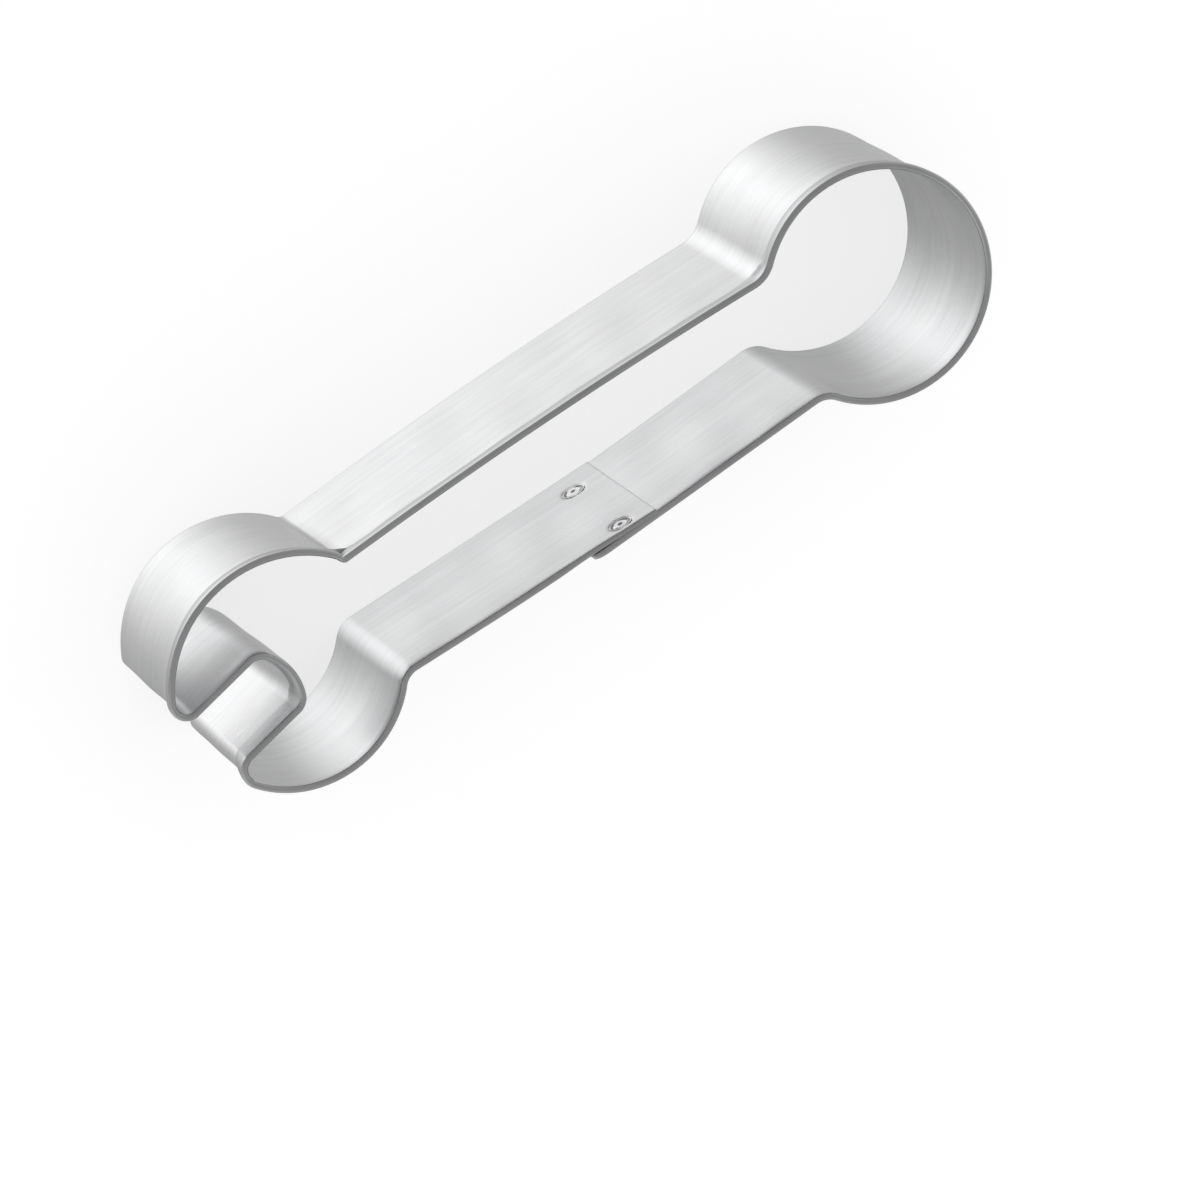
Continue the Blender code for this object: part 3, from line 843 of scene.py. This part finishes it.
def rolled_tin():
    """Tinplate as it leaves the rolls: satin, with streaks and scratches along the strip, and
    painted shade on its inner face and flap.
    """
    material = bpy.data.materials.new("rolled_tin")
    material.use_nodes = True
    tree = material.node_tree
    link = tree.links.new
    shader = tree.nodes["Principled BSDF"]
    shader.inputs["Metallic"].default_value = 1.0
    shader.inputs["Anisotropic"].default_value = TIN_ANISOTROPY
    shader.inputs["Anisotropic Rotation"].default_value = ALONG_THE_STRIP
    tangent = add_node(tree, "ShaderNodeTangent", direction_type="UV_MAP", uv_map="strip")
    link(tangent.outputs["Tangent"], shader.inputs["Tangent"])
    uv = add_node(tree, "ShaderNodeUVMap", uv_map="strip").outputs["UV"]

    fine = stretched_noise(tree, uv, FINE_STREAKS)
    broad = stretched_noise(tree, uv, BROAD_STREAKS)
    cloud = stretched_noise(tree, uv, CLOUDS)
    brush = stretched_noise(tree, uv, CROSS_BRUSH)
    scratch = mapped(tree, stretched_noise(tree, uv, SCRATCHES), SCRATCH_CUT, 0.0, 1.0)

    # Bare sheared edges, and the rim's crest polished by handling
    apart = add_node(tree, "ShaderNodeSeparateXYZ")
    link(uv, apart.inputs["Vector"])
    depth = math_node(tree, "ABSOLUTE", apart.outputs["Y"])
    sheared = mapped(tree, depth, SHEARED_BAND, 1.0, 0.0)
    crest = math_node(tree, "ABSOLUTE", math_node(tree, "SUBTRACT", depth, CREST))
    handled = mapped(tree, crest, CREST_BAND, 1.0, 0.0)

    # Painted shade: the flap's outer face is made darker than the wall behind it, standing in for
    # the shade that its tilt gives it
    painted_flap_shade = mapped(tree, apart.outputs["Y"], FOLDED_BAND, 0.0, 1.0)

    # Painted shade: the face that meets the dough is darkened, most of all near the cutting edge,
    # standing in for the shaded floor inside the cutter that it reflects
    inside = mapped(tree, apart.outputs["Y"], INSIDE_BAND, 0.0, 1.0)
    towards_edge = mapped(tree, depth, NEAR_EDGE_BAND, 1.0, 0.0)
    by_depth = math_node(tree, "MULTIPLY_ADD", towards_edge, 0.5, 0.5)
    painted_inner_shade = math_node(tree, "MULTIPLY", inside, by_depth)

    tone = weighted_sum(tree, centred(TIN_TONE, FINE_TONE, BROAD_TONE, CLOUD_TONE), [
        (fine, FINE_TONE),
        (broad, BROAD_TONE),
        (cloud, CLOUD_TONE),
        (painted_inner_shade, PAINTED_INNER_SHADE_TONE),
        (painted_flap_shade, PAINTED_FLAP_SHADE_TONE),
        (scratch, SCRATCH_TONE),
        (sheared, SHEARED_TONE),
    ], clamp=True)
    link(colour_between(tree, tone, TIN_DARK, TIN_LIGHT), shader.inputs["Base Color"])

    rough = weighted_sum(tree, centred(TIN_ROUGHNESS, CLOUD_ROUGHNESS, FINE_ROUGHNESS), [
        (cloud, CLOUD_ROUGHNESS),
        (fine, FINE_ROUGHNESS),
        (sheared, SHEARED_ROUGHNESS),
        (handled, HANDLED_ROUGHNESS),
    ])
    link(rough, shader.inputs["Roughness"])

    height = weighted_sum(tree, fine, [
        (broad, BROAD_RELIEF),
        (brush, BRUSH_RELIEF),
        (scratch, SCRATCH_RELIEF),
    ])
    relief(tree, height, TIN_RELIEF_STRENGTH, TIN_RELIEF, shader)
    return material


def fused_steel():
    """Weld metal: duller and rougher than the sheet, speckled where the electrode pressed."""
    material = bpy.data.materials.new("fused_steel")
    material.use_nodes = True
    tree = material.node_tree
    link = tree.links.new
    shader = tree.nodes["Principled BSDF"]
    shader.inputs["Metallic"].default_value = 1.0
    coordinates = add_node(tree, "ShaderNodeTexCoord")
    noises = []
    for scale, detail, rough in (SPECKLES, PATCHES):
        noise = add_node(tree, "ShaderNodeTexNoise", Scale=scale, Detail=detail, Roughness=rough)
        link(coordinates.outputs["Object"], noise.inputs["Vector"])
        noises.append(noise.outputs["Fac"])
    speckle, patch = noises
    tone = weighted_sum(tree, 0.0, [(patch, PATCH_TONE), (speckle, SPECKLE_TONE)], clamp=True)
    link(colour_between(tree, tone, WELD_DARK, WELD_LIGHT), shader.inputs["Base Color"])
    link(mapped(tree, patch, PATCH_BAND, *WELD_ROUGHNESS), shader.inputs["Roughness"])
    relief(tree, speckle, WELD_RELIEF_STRENGTH, WELD_RELIEF, shader)
    return material


# Stage

def floor_material():
    """Pale matt floor. Seen straight or through something it also glows, and comes out white."""
    material = bpy.data.materials.new("stage_floor")
    material.use_nodes = True
    tree = material.node_tree
    shader = tree.nodes["Principled BSDF"]
    shader.inputs["Base Color"].default_value = (*FLOOR_COLOUR, 1.0)
    shader.inputs["Roughness"].default_value = 1.0
    shader.inputs["Specular IOR Level"].default_value = 0.0
    shader.inputs["Emission Color"].default_value = WHITE
    path = add_node(tree, "ShaderNodeLightPath").outputs
    seen = math_node(tree, "MAXIMUM", path["Is Camera Ray"], path["Is Glossy Ray"])
    seen = math_node(tree, "MAXIMUM", seen, path["Is Transmission Ray"])
    glow = math_node(tree, "MULTIPLY", seen, FLOOR_GLOW)
    tree.links.new(glow, shader.inputs["Emission Strength"])
    return material


def add_floor():
    """Floor that takes the shadow but stays out of the metal, which sees the world instead."""
    mesh = bpy.data.meshes.new("stage_floor")
    signs = ((-1.0, -1.0), (1.0, -1.0), (1.0, 1.0), (-1.0, 1.0))
    corners = [(x * FLOOR_HALF, y * FLOOR_HALF, 0.0) for x, y in signs]
    mesh.from_pydata(corners, [], [(0, 1, 2, 3)])
    mesh.materials.append(floor_material())
    floor = bpy.data.objects.new("stage_floor", mesh)
    floor.visible_glossy = False
    bpy.context.scene.collection.objects.link(floor)


def direction_of(azimuth, elevation):
    """Unit vector towards an azimuth from +X and an elevation above the floor."""
    level = math.cos(elevation)
    return Vector((level * math.cos(azimuth), level * math.sin(azimuth), math.sin(elevation)))


def add_world():
    """White to the camera, even on the floor; in the metal, soft lights over a dim ground."""
    world = bpy.data.worlds.new("studio")
    world.use_nodes = True
    tree = world.node_tree
    link = tree.links.new
    background = tree.nodes["Background"]
    background.inputs["Color"].default_value = WHITE
    coordinates = add_node(tree, "ShaderNodeTexCoord")
    total = STUDIO_DIM
    for azimuth, elevation, bright, tightness in STUDIO_LIGHTS:
        light = direction_of(math.radians(azimuth), math.radians(elevation))
        towards = add_node(tree, "ShaderNodeVectorMath", operation="DOT_PRODUCT")
        towards.inputs[1].default_value = light
        link(coordinates.outputs["Generated"], towards.inputs[0])
        fall = math_node(tree, "MULTIPLY_ADD", towards.outputs["Value"], tightness, -tightness)
        total = math_node(tree, "MULTIPLY_ADD", math_node(tree, "EXPONENT", fall), bright, total)
    path = add_node(tree, "ShaderNodeLightPath").outputs
    added = 1.0 - STUDIO_ON_FLOOR
    level = math_node(tree, "MULTIPLY_ADD", path["Is Camera Ray"], added, STUDIO_ON_FLOOR)
    strength = add_node(tree, "ShaderNodeMix", data_type="FLOAT")
    link(level, strength.inputs["A"])
    link(path["Is Glossy Ray"], strength.inputs["Factor"])
    link(total, strength.inputs["B"])
    link(strength.outputs["Result"], background.inputs["Strength"])
    bpy.context.scene.world = world


def add_camera():
    """Camera with a long lens, turned about its own axis as the photograph is."""
    back = direction_of(VIEW_AZIMUTH, VIEW_ELEVATION)
    data = bpy.data.cameras.new("camera")
    data.lens = LENS
    data.clip_start = CLIP_START
    data.clip_end = CLIP_END
    camera = bpy.data.objects.new("camera", data)
    camera.location = VIEW_TARGET + back * VIEW_DISTANCE
    camera.rotation_mode = "QUATERNION"
    roll = Quaternion((0.0, 0.0, 1.0), VIEW_ROLL)
    camera.rotation_quaternion = (-back).to_track_quat("-Z", "Y") @ roll
    bpy.context.scene.collection.objects.link(camera)
    bpy.context.scene.camera = camera


def add_piece(name, mesh, material, node):
    """Add a piece that stands for a CAD node, give it the finish passed in, hang it on the root
    body and hide the node.
    """
    piece = bpy.data.objects.new(name, mesh)
    bpy.context.scene.collection.objects.link(piece)
    mesh.materials.append(material)
    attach(piece, "root")
    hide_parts(node)
    return piece


def main():
    """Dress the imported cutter."""
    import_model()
    bpy.context.scene.view_settings.view_transform = "Standard"
    add_camera()
    add_world()
    add_floor()

    verts, uvs = strip_points()
    rings, count = verts.shape[:2]
    turned = turn_rim(verts.reshape(-1, 3)).reshape(rings, count, 3)
    turned[:, :, 0] += RING_CENTRE[0]
    turned[:, :, 1] += RING_CENTRE[1]
    add_piece("cutter_strip", strip_mesh(turned, uvs), rolled_tin(), "cutter_band")

    # The welds lie on the wall's inner face, in the half of the strip that ends at the lap
    inner_face = turned[rings // 2:, :WALL_ROWS + LEAD_STEPS].reshape(-1, 3)
    metal = fused_steel()
    for node in WELD_NODES:
        centre = node_centre(node)
        mesh = weld_mesh(node + "_mark", inner_face, centre.x, centre.z)
        add_piece(node + "_mark", mesh, metal, node)


main()
